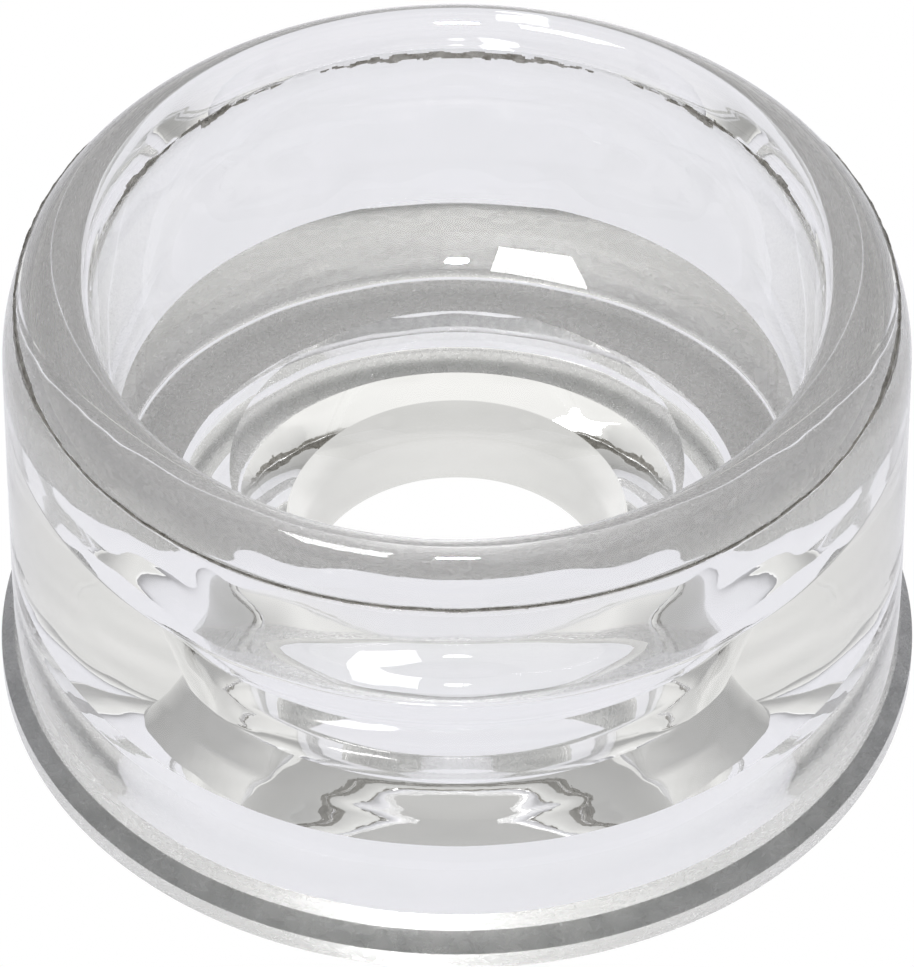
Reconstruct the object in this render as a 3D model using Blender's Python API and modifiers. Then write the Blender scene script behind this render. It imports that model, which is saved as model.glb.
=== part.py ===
"""Glass insulator: one press-moulded ring of clear flint glass.

The body is a solid of revolution about +Z.  It stands on a flat base ring with
a small foot flange, carries a deep open bowl above, a stepped well in the
middle of the bowl floor, and a bore through the web that opens into a wide
shallow recess in the underside.  All lengths are metres.
"""
import math

import bmesh
import bpy

# ---- driving dimensions ----------------------------------------------------
FLANGE_RADIUS = 0.0350
FLANGE_EDGE_TOP = 0.0017
FLANGE_SHOULDER_TOP = 0.0032
BASE_BEVEL = 0.00035

WALL_RADIUS = 0.0340
BODY_HEIGHT = 0.0383

RIM_OUTER_WIDTH = 0.0045
RIM_OUTER_DROP = 0.0081
RIM_INNER_WIDTH = 0.0022
RIM_INNER_DROP = 0.0021

BOWL_WALL_FOOT_RADIUS = 0.0256
BOWL_WALL_FOOT_HEIGHT = 0.0226
BOWL_CORNER_RADIUS = 0.0225
BOWL_CORNER_HEIGHT = 0.0196

WELL_RADIUS = 0.0172
WELL_RIM_HEIGHT = 0.0186
WELL_CORNER_RADIUS = 0.0150
WELL_CORNER_HEIGHT = 0.0150
WELL_FLOOR_RADIUS = 0.0130
WELL_FLOOR_HEIGHT = 0.0131

BORE_TOP_RADIUS = 0.0121
BORE_TOP_HEIGHT = 0.0100
BORE_RADIUS = 0.0113

RECESS_RADIUS = 0.0250
RECESS_WALL_TOP_RADIUS = 0.0248
RECESS_WALL_TOP_HEIGHT = 0.0055
RECESS_ROOF_RADIUS = 0.0236
RECESS_ROOF_HEIGHT = 0.0065

# ---- facet counts ----------------------------------------------------------
TURN_STEPS = 72
RIM_OUTER_STEPS = 8
RIM_INNER_STEPS = 4
BOWL_CORNER_STEPS = 7
WELL_CORNER_STEPS = 5
MERGE_DISTANCE = 0.00001

BODY_COLOR = (0.90, 0.91, 0.93, 1.0)
GLASS_IOR = 1.50
GLASS_ROUGHNESS = 0.02


def clear_objects():
    for old in list(bpy.data.objects):
        bpy.data.objects.remove(old, do_unlink=True)


def crest_radius():
    return WALL_RADIUS - RIM_OUTER_WIDTH


def rim_outer_arc():
    """Quarter ellipse from the crest of the rim down to the straight wall."""
    points = []
    for step in range(RIM_OUTER_STEPS + 1):
        angle = 0.5 * math.pi * step / RIM_OUTER_STEPS
        radius = crest_radius() + RIM_OUTER_WIDTH * math.sin(angle)
        height = BODY_HEIGHT - RIM_OUTER_DROP * (1.0 - math.cos(angle))
        points.append((radius, height))
    return points


def rim_inner_arc():
    """Quarter ellipse from the bowl wall up to, but not reaching, the crest."""
    points = []
    for step in range(RIM_INNER_STEPS):
        angle = 0.5 * math.pi * step / RIM_INNER_STEPS
        radius = crest_radius() - RIM_INNER_WIDTH * math.cos(angle)
        height = BODY_HEIGHT - RIM_INNER_DROP * (1.0 - math.sin(angle))
        points.append((radius, height))
    return points


def blend(start, corner, end, steps):
    """Quadratic blend between two points, pulled toward a corner point."""
    points = []
    for step in range(1, steps + 1):
        t = step / steps
        near = (1.0 - t) * (1.0 - t)
        mid = 2.0 * t * (1.0 - t)
        far = t * t
        radius = near * start[0] + mid * corner[0] + far * end[0]
        height = near * start[1] + mid * corner[1] + far * end[1]
        points.append((radius, height))
    return points


def body_profile():
    """Closed section of the glass, run down the outside and back up inside."""
    points = rim_outer_arc()
    points.append((WALL_RADIUS, FLANGE_SHOULDER_TOP))
    points.append((FLANGE_RADIUS, FLANGE_EDGE_TOP))
    points.append((FLANGE_RADIUS, BASE_BEVEL))
    points.append((FLANGE_RADIUS - BASE_BEVEL, 0.0))
    points.append((RECESS_RADIUS, 0.0))
    points.append((RECESS_WALL_TOP_RADIUS, RECESS_WALL_TOP_HEIGHT))
    points.append((RECESS_ROOF_RADIUS, RECESS_ROOF_HEIGHT))
    points.append((BORE_RADIUS, RECESS_ROOF_HEIGHT))
    points.append((BORE_TOP_RADIUS, BORE_TOP_HEIGHT))
    well_floor = (WELL_FLOOR_RADIUS, WELL_FLOOR_HEIGHT)
    well_corner = (WELL_CORNER_RADIUS, WELL_CORNER_HEIGHT)
    well_rim = (WELL_RADIUS, WELL_RIM_HEIGHT)
    points.append(well_floor)
    points += blend(well_floor, well_corner, well_rim, WELL_CORNER_STEPS)
    bowl_corner = (BOWL_CORNER_RADIUS, BOWL_CORNER_HEIGHT)
    wall_foot = (BOWL_WALL_FOOT_RADIUS, BOWL_WALL_FOOT_HEIGHT)
    points += blend(well_rim, bowl_corner, wall_foot, BOWL_CORNER_STEPS)
    points += rim_inner_arc()
    return points


def glass_material(name):
    material = bpy.data.materials.new(name)
    material.use_nodes = True
    shader = material.node_tree.nodes["Principled BSDF"]
    shader.inputs["Base Color"].default_value = BODY_COLOR
    shader.inputs["Roughness"].default_value = GLASS_ROUGHNESS
    shader.inputs["Metallic"].default_value = 0.0
    shader.inputs["IOR"].default_value = GLASS_IOR
    shader.inputs["Transmission Weight"].default_value = 1.0
    return material


def turned_object(name, profile, collection, material):
    """Closed loop of profile points in the XZ plane, turned about Z."""
    mesh = bpy.data.meshes.new(name)
    bm = bmesh.new()
    loop = [bm.verts.new((radius, 0.0, height)) for radius, height in profile]
    for index, vert in enumerate(loop):
        bm.edges.new((vert, loop[(index + 1) % len(loop)]))
    bm.to_mesh(mesh)
    bm.free()
    mesh.materials.append(material)
    item = bpy.data.objects.new(name, mesh)
    collection.objects.link(item)
    screw = item.modifiers.new("turn", "SCREW")
    screw.axis = "Z"
    screw.angle = 2.0 * math.pi
    screw.screw_offset = 0.0
    screw.steps = TURN_STEPS
    screw.render_steps = TURN_STEPS
    screw.use_merge_vertices = True
    screw.merge_threshold = MERGE_DISTANCE
    screw.use_normal_calculate = True
    screw.use_smooth_shade = True
    return item


clear_objects()
insulator = bpy.data.collections.new("glass_insulator")
bpy.context.scene.collection.children.link(insulator)

clear_glass = glass_material("clear_flint_glass")
turned_object("glass_body", body_profile(), insulator, clear_glass)
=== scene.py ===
"""Looks of the clear pressed-glass insulator ring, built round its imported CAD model."""

import math

import bmesh
import bpy
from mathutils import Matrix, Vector, noise


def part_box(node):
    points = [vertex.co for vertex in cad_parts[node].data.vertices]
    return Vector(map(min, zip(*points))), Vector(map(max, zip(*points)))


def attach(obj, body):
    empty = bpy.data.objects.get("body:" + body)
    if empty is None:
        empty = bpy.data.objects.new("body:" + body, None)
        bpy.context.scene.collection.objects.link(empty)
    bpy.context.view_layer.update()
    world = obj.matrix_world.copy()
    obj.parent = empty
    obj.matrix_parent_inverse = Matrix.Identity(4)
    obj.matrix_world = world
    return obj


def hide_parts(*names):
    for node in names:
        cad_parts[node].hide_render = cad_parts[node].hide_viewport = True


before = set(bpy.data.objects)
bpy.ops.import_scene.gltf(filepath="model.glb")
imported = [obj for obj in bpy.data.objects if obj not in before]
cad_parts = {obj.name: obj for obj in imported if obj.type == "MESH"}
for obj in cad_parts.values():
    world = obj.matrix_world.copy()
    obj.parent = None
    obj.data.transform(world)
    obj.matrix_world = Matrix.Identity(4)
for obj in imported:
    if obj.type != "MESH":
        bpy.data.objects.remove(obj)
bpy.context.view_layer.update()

MM = 0.001
body_low, body_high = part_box("glass_body")
RADIUS = 0.5 * (body_high[0] - body_low[0])
BASE_Z = body_low[2]
HEIGHT = body_high[2] - body_low[2]

# ---- section of the glass, millimetres --------------------------------------
WALL = 34.0
CREST = 29.5
RIM_OUT = 4.5
RIM_DROP = 8.1
RIM_IN = 2.2
RIM_IN_DROP = 2.1
SHOULDER_Z = 3.2
EDGE_Z = 1.7
BEVEL = 0.35
WALL_FOOT = (25.6, 22.6)
FLOOR_PULL = (22.5, 19.6)
WELL_RIM = (17.2, 18.6)
WELL_PULL = (15.0, 15.0)
WELL_FOOT = (13.0, 13.1)
THROAT = (12.1, 10.0)
BORE = (11.3, 6.5)
UNDER = [(25.0, 0.0), (24.8, 5.5), (23.6, 6.5)]

# Clear glass, then three tints painted dark as painted shade: the flange's shoulder band, the lines along the
# fin and inside the rim, and the foot's underside.
CLEAR_ZONE, EDGE_SHADE_ZONE, LINE_SHADE_ZONE, FOOT_SHADE_ZONE = range(4)
TURN_STEPS = 720
RIM_STEPS = 40
PARTING_STEPS = 14
WALL_STEPS = 60
SHOULDER_STEPS = 4
EDGE_STEPS = 3
BASE_STEPS = 14
RECESS_STEPS = 8
WEB_STEPS = 20
BORE_STEPS = 8
WELL_STEPS = 18
FLOOR_STEPS = 36
BOWL_STEPS = 30
BOWL_TOP_STEPS = 20
BOWL_TOP_FROM = 0.86
RIM_IN_STEPS = 30

# ---- press marks, millimetres ------------------------------------------------
PARTING_ANGLE = 50.0
PARTING_SPAN = 6.0
PARTING_WIDTH = 0.11
PARTING_HEIGHT = 0.07
PARTING_GRAIN = 0.6
# Painted shade: a dark line is painted along the fin, thin at the front and wider at the back, for the line
# the rim's curve darkens in the glass.
LINE_SHADE_FRONT = 0.12
LINE_SHADE_BACK = 0.55
SOFT = 1.5
SHARP = 24.0
UNDER_WAVE = 0.03
RIM_CALM_Z = 30.0
SEAM_Z = 35.9
SEAM_WIDTH = 0.16
SEAM_DEPTH = 0.16
# Painted shade: a dark line is painted round the back of the ring inside the rim, where the outer parting
# ring shows dark through the glass.
SEAM_SHADE = 0.14
SEAM_SHADE_FROM = 6.0
SEAM_SHADE_FADE = 6.0
SEAM_REACH = 1.2
SEAM_JOGS = [(6.0, 0.12), (10.5, 0.15), (16.0, -0.2), (19.5, 0.25)]


def blend(start, pull, end, steps):
    points = []
    for step in range(1, steps + 1):
        t = step / steps
        a = (1 - t) * (1 - t)
        b = 2 * t * (1 - t)
        c = t * t
        points.append((a * start[0] + b * pull[0] + c * end[0], a * start[1] + b * pull[1] + c * end[1]))
    return points


def straight(start, end, steps):
    return [
        (start[0] + (end[0] - start[0]) * i / steps, start[1] + (end[1] - start[1]) * i / steps)
        for i in range(1, steps + 1)
    ]


def rim_point(angle):
    """Point of the outer rim curve at an angle from the crest, 0 to 90 degrees."""
    a = math.radians(angle)
    top = HEIGHT / MM
    return (CREST + RIM_OUT * math.sin(a), top - RIM_DROP * (1 - math.cos(a)))


def inner_point(angle):
    """Point of the inner rim curve, 0 at the bowl wall and 90 degrees at the crest."""
    a = math.radians(angle)
    top = HEIGHT / MM
    return (CREST - RIM_IN * math.cos(a), top - RIM_IN_DROP * (1 - math.sin(a)))


def section():
    """Closed loop of (radius, height) in millimetres, down the outside and up inside."""
    edge = RADIUS / MM
    evenly = [90.0 * i / RIM_STEPS for i in range(RIM_STEPS + 1)]
    angles = [angle for angle in evenly if abs(angle - PARTING_ANGLE) > PARTING_SPAN]
    angles += [PARTING_ANGLE + PARTING_SPAN * (i / PARTING_STEPS - 1.0) for i in range(2 * PARTING_STEPS + 1)]
    loop = [rim_point(angle) for angle in sorted(angles)]
    loop += straight(loop[-1], (WALL, SHOULDER_Z), WALL_STEPS)
    loop += straight(loop[-1], (edge, EDGE_Z), SHOULDER_STEPS)
    loop += straight(loop[-1], (edge, BEVEL), EDGE_STEPS)
    loop += blend(loop[-1], (edge, 0.0), (edge - BEVEL, 0.0), EDGE_STEPS)
    loop += straight(loop[-1], UNDER[0], BASE_STEPS)
    for point in UNDER[1:]:
        loop += straight(loop[-1], point, RECESS_STEPS)
    loop += straight(loop[-1], BORE, WEB_STEPS)
    loop += straight(loop[-1], THROAT, BORE_STEPS)
    loop += straight(loop[-1], WELL_FOOT, BORE_STEPS)
    loop += blend(loop[-1], WELL_PULL, WELL_RIM, WELL_STEPS)
    loop += blend(loop[-1], FLOOR_PULL, WALL_FOOT, FLOOR_STEPS)
    foot = loop[-1]
    inner_top = inner_point(0.0)
    rise = (inner_top[0] - foot[0], inner_top[1] - foot[1])
    knee = (foot[0] + BOWL_TOP_FROM * rise[0], foot[1] + BOWL_TOP_FROM * rise[1])
    loop += straight(foot, knee, BOWL_STEPS)
    loop += straight(knee, inner_top, BOWL_TOP_STEPS)
    loop += [inner_point(90.0 * i / RIM_IN_STEPS) for i in range(1, RIM_IN_STEPS)]
    return loop


def soft_abs(value):
    return math.sqrt(value * value + SOFT * SOFT)


def wave(x, y, z, size, seed):
    return noise.noise(Vector((soft_abs(x) / size, y / size + seed, z / size)))


def ripple(r, z, x, y):
    """How far the pressed surface stands off its true shape here, in millimetres."""
    if z > RIM_CALM_Z:
        calm = max(0.25, 1.0 - (z - RIM_CALM_Z) / 6.0)
    else:
        calm = 1.0
    outside = r > WALL - 0.6
    inside = r < CREST - 1.5 and z > WELL_RIM[1] - 1.0
    under = z < BORE[1] + 0.5 and r < UNDER[0][0] - 0.5 and not outside
    if outside:
        low = max(0.0, 1.0 - z / 16.0)
        size = 0.016 * wave(x, y, z * 1.2, 11.0, 3.1) + (0.008 + 0.03 * low) * wave(x, y, 2.6 * z, 6.0, 9.7)
        return calm * size
    if inside:
        return calm * (0.05 * wave(x, y, z, 9.0, 21.3) + 0.025 * wave(x, y, 1.5 * z, 4.2, 5.5))
    if under:
        return UNDER_WAVE * (wave(x, y, z, 7.0, 40.2) + 0.4 * wave(x, y, z, 3.0, 17.9))
    return 0.0


def seam_jog(across, y):
    """How far the ring inside the rim wanders up here, in steps and in noise."""
    jog = sum(step for start, step in SEAM_JOGS if across > start)
    return jog + 0.18 * noise.noise(Vector((across / 1.7, y / 1.7, 2.0)))


def seam(r, z, x, y):
    """Rough ring left inside the rim where the plunger met the mould."""
    if r > CREST - 0.5 or abs(z - SEAM_Z) > SEAM_REACH:
        return 0.0
    across = soft_abs(x)
    off = (z - SEAM_Z - seam_jog(across, y)) / SEAM_WIDTH
    if abs(off) > 3:
        return 0.0
    patchy = noise.noise(Vector((across / 5.0, y / 5.0, 8.0))) * 1.6 + 0.55
    patchy = min(1.0, max(0.0, patchy))
    grain = 0.6 + 0.6 * noise.noise(Vector((across / 0.7, y / 0.7, z / 0.5)))
    return SEAM_DEPTH * patchy * grain * math.exp(-off * off)


def parting_place(r, z, x, y):
    """Distance in millimetres along the rim from the parting ring, with how rough the ring is there."""
    middle_r, middle_z = rim_point(PARTING_ANGLE)
    off = math.hypot(r - middle_r, z - middle_z)
    if r < CREST or off > 1.0:
        return None
    across = soft_abs(x)
    rough = 0.5 + 0.5 * max(-1.0, min(1.0, (y + 4.0) / 12.0))
    jog = (0.05 + 0.2 * rough) * noise.noise(Vector((across / 2.3, y / 2.3, 31.0)))
    return (off if z < middle_z else -off) - jog, rough


def parting(r, z, x, y):
    """Raised fin on the outside of the rim, where the two halves of the mould meet."""
    place = parting_place(r, z, x, y)
    if place is None:
        return 0.0
    off, rough = place
    off /= PARTING_WIDTH
    if abs(off) > 3:
        return 0.0
    across = soft_abs(x)
    grain = noise.noise(Vector((across / 1.1, y / 1.1, 13.0)))
    grain += 0.5 * noise.noise(Vector((across / 0.5, y / 0.5, 3.0)))
    level = 1.0 + PARTING_GRAIN * (0.4 + rough) * grain
    return PARTING_HEIGHT * max(0.15, level) * (1.0 + 0.7 * rough) * math.exp(-off * off)


def seam_shade_painted(r, z, x, y):
    """True where the back of the ring inside the rim gets a painted dark line, painted shade where the outer
    parting ring shows dark through the glass.
    """
    if r > CREST - 0.5 or abs(z - SEAM_Z) > SEAM_REACH or y < SEAM_SHADE_FROM:
        return False
    across = soft_abs(x)
    jog = seam_jog(across, y)
    fade = min(1.0, (y - SEAM_SHADE_FROM) / SEAM_SHADE_FADE)
    coarse = noise.noise(Vector((across / 4.0, y / 4.0, 14.4)))
    fine = noise.noise(Vector((across / 0.8, y / 0.8, z / 0.4 + 5.0)))
    return abs(z - SEAM_Z - jog) < fade * (SEAM_SHADE + 0.35 * coarse + 0.25 * fine)


def line_shade_painted(r, z, x, y):
    """True where the fin, or the ring inside the rim, gets a painted dark line: painted shade for the thin
    dark lines the rim's curves throw in the glass.
    """
    if seam_shade_painted(r, z, x, y):
        return True
    place = parting_place(r, z, x, y)
    if place is None:
        return False
    off, rough = place
    across = soft_abs(x)
    coarse = noise.noise(Vector((across / 6.0, y / 6.0, 4.4)))
    fine = noise.noise(Vector((across / 1.0, y / 1.0, z / 0.4)))
    half = LINE_SHADE_FRONT + rough * (LINE_SHADE_BACK + 0.5 * coarse + 0.3 * fine)
    return abs(off) < half


def section_normals(loop):
    """Unit normal of the closed section at each point, pointing out of the glass."""
    count = len(loop)
    out = []
    for j in range(count):
        a, b = loop[j - 1], loop[(j + 1) % count]
        along = (b[0] - a[0], b[1] - a[1])
        size = math.hypot(*along)
        out.append((-along[1] / size, along[0] / size))
    return out


def finish_zone(r, z, x, y):
    """Which glass this place gets: clear, or a tint painted dark as painted shade on the flange's shoulder
    band, the lines along the fin and inside the rim, or the foot's underside.
    """
    # Painted shade on the flange's shoulder band.
    if r > WALL + 0.05 and EDGE_Z < z < SHOULDER_Z:
        return EDGE_SHADE_ZONE
    # Painted shade on the foot's underside, where it sits on the floor.
    if z < 0.001 and UNDER[0][0] < r < RADIUS / MM - BEVEL:
        return FOOT_SHADE_ZONE
    # Painted shade: dark lines along the fin and inside the rim.
    if line_shade_painted(r, z, x, y):
        return LINE_SHADE_ZONE
    return CLEAR_ZONE


def glass_mesh(name):
    loop = section()
    normals = section_normals(loop)
    count = len(loop)
    bm = bmesh.new()
    rings = []
    for k in range(TURN_STEPS):
        turn = 2 * math.pi * k / TURN_STEPS
        c, s = math.cos(turn), math.sin(turn)
        ring = []
        for (r, z), (nr, nz) in zip(loop, normals):
            x, y = r * c, r * s
            push = 0.0
            if 0.5 < z and r < RADIUS / MM - 0.2 and z < HEIGHT / MM - 0.3:
                push = ripple(r, z, x, y) + seam(r, z, x, y) + parting(r, z, x, y)
            rr, zz = r + nr * push, z + nz * push
            ring.append(bm.verts.new((rr * MM * c, rr * MM * s, BASE_Z + zz * MM)))
        rings.append(ring)
    for k in range(TURN_STEPS):
        here, there = rings[k], rings[(k + 1) % TURN_STEPS]
        turn = 2 * math.pi * (k + 0.5) / TURN_STEPS
        middle = (math.cos(turn), math.sin(turn))
        for j in range(count):
            j2 = (j + 1) % count
            face = bm.faces.new((here[j], here[j2], there[j2], there[j]))
            r, z = 0.5 * (loop[j][0] + loop[j2][0]), 0.5 * (loop[j][1] + loop[j2][1])
            face.material_index = finish_zone(r, z, r * middle[0], r * middle[1])
    bmesh.ops.recalc_face_normals(bm, faces=bm.faces)
    for face in bm.faces:
        face.smooth = True
    mesh = bpy.data.meshes.new(name)
    bm.to_mesh(mesh)
    bm.free()
    mesh.set_sharp_from_angle(angle=math.radians(SHARP))
    return mesh


def node_noise(tree, size_mm, detail=3.0, stretch=(1, 1, 1), distortion=0.0):
    """Noise in object space, with its grain given in millimetres."""
    coords = tree.nodes.new("ShaderNodeTexCoord")
    scale = tree.nodes.new("ShaderNodeMapping")
    scale.inputs["Scale"].default_value = tuple(s / (size_mm * MM) for s in stretch)
    grain = tree.nodes.new("ShaderNodeTexNoise")
    grain.inputs["Scale"].default_value = 1.0
    grain.inputs["Detail"].default_value = detail
    grain.inputs["Distortion"].default_value = distortion
    tree.links.new(coords.outputs["Object"], scale.inputs["Vector"])
    tree.links.new(scale.outputs["Vector"], grain.inputs["Vector"])
    return grain.outputs["Fac"]


def node_range(tree, value, low, high, start, end):
    """Maps low..high of a value onto start..end, clamped."""
    remap = tree.nodes.new("ShaderNodeMapRange")
    remap.inputs["From Min"].default_value = low
    remap.inputs["From Max"].default_value = high
    remap.inputs["To Min"].default_value = start
    remap.inputs["To Max"].default_value = end
    tree.links.new(value, remap.inputs["Value"])
    return remap.outputs["Result"]


def node_tint(tree, value, dark, light):
    """Colour running from dark to light with a value of 0 to 1."""
    ramp = tree.nodes.new("ShaderNodeValToRGB")
    ramp.color_ramp.elements[0].color = (*dark, 1)
    ramp.color_ramp.elements[1].color = (*light, 1)
    tree.links.new(value, ramp.inputs["Fac"])
    return ramp.outputs["Color"]


def node_bump(tree, value, height_mm):
    bump = tree.nodes.new("ShaderNodeBump")
    bump.inputs["Strength"].default_value = 1.0
    bump.inputs["Distance"].default_value = height_mm * MM
    tree.links.new(value, bump.inputs["Height"])
    return bump.outputs["Normal"]


def glass_material(name, dark, light, grain_mm, rough, bump_mm, stretch=(1, 1, 1)):
    """Glass tinted dark to light in patches, with its roughness and its fine bumps from noise."""
    material = bpy.data.materials.new(name)
    material.use_nodes = True
    tree = material.node_tree
    shader = tree.nodes["Principled BSDF"]
    shader.inputs["IOR"].default_value = GLASS_IOR
    shader.inputs["Transmission Weight"].default_value = 1.0
    patches = node_noise(tree, grain_mm, stretch=stretch)
    shares = node_range(tree, patches, 0.35, 0.65, 0.0, 1.0)
    tree.links.new(node_tint(tree, shares, dark, light), shader.inputs["Base Color"])
    smears = node_noise(tree, 2.5 * grain_mm, detail=6.0, distortion=1.2)
    tree.links.new(node_range(tree, smears, 0.45, 0.8, *rough), shader.inputs["Roughness"])
    grain = node_noise(tree, 0.6 * grain_mm, detail=4.0, stretch=stretch)
    tree.links.new(node_bump(tree, grain, bump_mm), shader.inputs["Normal"])
    return material


def pale_material(name, color, glow):
    material = bpy.data.materials.new(name)
    material.use_nodes = True
    shader = material.node_tree.nodes["Principled BSDF"]
    shader.inputs["Base Color"].default_value = (*color, 1)
    shader.inputs["Roughness"].default_value = 1.0
    shader.inputs["Specular IOR Level"].default_value = 0.0
    shader.inputs["Emission Color"].default_value = (1, 1, 1, 1)
    shader.inputs["Emission Strength"].default_value = glow
    return material


glass = bpy.data.objects.new("glass_ring", glass_mesh("glass_ring"))
GLASS_IOR = 1.5
CLEAR = [(0.975, 0.98, 0.975), (0.995, 0.995, 0.995)]
# Painted shade: the flange's shoulder band is tinted dark for the shaded floor contact seen through the glass
# there.
FOOT_EDGE_SHADE = [(0.13, 0.135, 0.135), (0.2, 0.205, 0.205)]
# Painted shade: dark tint for the painted lines along the fin and inside the rim.
PARTING_LINE_SHADE = [(0.04, 0.035, 0.025), (0.16, 0.15, 0.125)]
# Painted shade: the foot's flat underside is tinted dark for the shaded floor in contact under the glass
# ring, which casts no shadow here.
FOOT_CONTACT_SHADE = [(0.13, 0.127, 0.115), (0.19, 0.187, 0.172)]
glass.data.materials.append(glass_material("clear_flint_glass", *CLEAR, 5.0, (0.0, 0.012), 0.0015))
glass.data.materials.append(glass_material("foot_edge_shade_glass", *FOOT_EDGE_SHADE, 2.5, (0.15, 0.3), 0.02))
glass.data.materials.append(glass_material("parting_line_shade_glass", *PARTING_LINE_SHADE, 0.7, (0.25, 0.45), 0.02))
glass.data.materials.append(glass_material("foot_contact_shade_glass", *FOOT_CONTACT_SHADE, 0.4, (0.25, 0.45), 0.01))
bpy.context.scene.collection.objects.link(glass)
# The glass lights the floor through its own refraction, so a shadow or a bounce as well would count it twice.
glass.visible_shadow = False
glass.visible_diffuse = False
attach(glass, "root")
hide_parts("glass_body")

# ---- floor, world, lights, camera -------------------------------------------
FLOOR = 3.0  # half the width, metres
DROP = 0.0001
FLOOR_COLOR = (0.50, 0.50, 0.53)
SEEN_GLOW = 1.0


def floor_sheet(name, drop, material):
    mesh = bpy.data.meshes.new(name)
    corners = [(-FLOOR, -FLOOR, 0), (FLOOR, -FLOOR, 0), (FLOOR, FLOOR, 0), (-FLOOR, FLOOR, 0)]
    mesh.from_pydata(corners, [], [(0, 1, 2, 3)])
    mesh.materials.append(material)
    sheet = bpy.data.objects.new(name, mesh)
    sheet.location.z = BASE_Z - drop
    bpy.context.scene.collection.objects.link(sheet)
    return sheet


# The lit floor is what the glass sees; the white one just under it is what the camera sees.
floor = floor_sheet("floor", DROP, pale_material("pale_floor", FLOOR_COLOR, 0.0))
floor.visible_camera = False
floor_seen = floor_sheet("floor_seen", 2 * DROP, pale_material("white_floor", (0, 0, 0), SEEN_GLOW))
floor_seen.visible_diffuse = False
floor_seen.visible_glossy = False
floor_seen.visible_transmission = False
floor_seen.visible_shadow = False

WORLD_WARM = (1.0, 0.995, 0.97)
WORLD_STOPS = [
    (0.0, 1.0), (0.01, 0.8), (0.05, 0.8), (0.3, 0.42), (0.5, 0.36), (0.62, 0.56),
    (0.74, 0.84), (0.86, 0.68), (0.93, 0.95), (1.0, 0.95),
]
world = bpy.data.worlds.new("soft_room")
world.use_nodes = True
bpy.context.scene.world = world
tree = world.node_tree
background = tree.nodes["Background"]
coords = tree.nodes.new("ShaderNodeTexCoord")
split = tree.nodes.new("ShaderNodeSeparateXYZ")
ramp = tree.nodes.new("ShaderNodeValToRGB")
tree.links.new(coords.outputs["Generated"], split.inputs[0])
tree.links.new(split.outputs["Z"], ramp.inputs["Fac"])
tree.links.new(ramp.outputs["Color"], background.inputs["Color"])
stops = ramp.color_ramp.elements
while len(stops) > 1:
    stops.remove(stops[-1])
stops[0].position = WORLD_STOPS[0][0]
stops[0].color = (WORLD_STOPS[0][1],) * 3 + (1,)
for place, level in WORLD_STOPS[1:]:
    stop = stops.new(place)
    stop.color = tuple(level * c for c in WORLD_WARM) + (1,)


def area_light(name, place, target, size, power, size_y=None):
    data = bpy.data.lights.new(name, "AREA")
    data.shape = "DISK"
    data.size = size
    if size_y:
        data.shape = "RECTANGLE"
        data.size_y = size_y
    data.energy = power
    lamp = bpy.data.objects.new(name, data)
    lamp.location = place
    lamp.rotation_euler = (Vector(place) - Vector(target)).to_track_quat("Z", "Y").to_euler()
    bpy.context.scene.collection.objects.link(lamp)
    return lamp


LIGHT_TARGET = (0, 0, 0.02)
KEY_PLACE = (0, 0.02, 0.5)
KEY_SIZE = 0.035
KEY_POWER = 2.0
BOX_PLACE = (-0.10, 0.02, 0.5)
BOX_SIZE = (0.13, 0.09)
BOX_POWER = 0.5
area_light("key", KEY_PLACE, LIGHT_TARGET, KEY_SIZE, KEY_POWER)
area_light("box", BOX_PLACE, LIGHT_TARGET, BOX_SIZE[0], BOX_POWER, BOX_SIZE[1])

ELEVATION = math.radians(43.61)
DISTANCE = 20 * RADIUS
LOOK_Z = 0.475 * RADIUS
SENSOR_WIDTH = 36.0
LENS_WIDTHS = 10.10066
camera_data = bpy.data.cameras.new("camera")
camera_data.sensor_fit = "HORIZONTAL"
camera_data.sensor_width = SENSOR_WIDTH
camera_data.lens = SENSOR_WIDTH * LENS_WIDTHS
camera_data.clip_start = 0.01
camera = bpy.data.objects.new("camera", camera_data)
camera.location = (0, -DISTANCE * math.cos(ELEVATION), BASE_Z + LOOK_Z + DISTANCE * math.sin(ELEVATION))
camera.rotation_euler = (0.5 * math.pi - ELEVATION, 0, 0)
bpy.context.scene.collection.objects.link(camera)
bpy.context.scene.camera = camera

bpy.context.scene.view_settings.view_transform = "Standard"
# Light turns many times inside the glass; the default limits leave black patches.
bpy.context.scene.cycles.max_bounces = 20
bpy.context.scene.cycles.glossy_bounces = 12
bpy.context.scene.cycles.transmission_bounces = 16
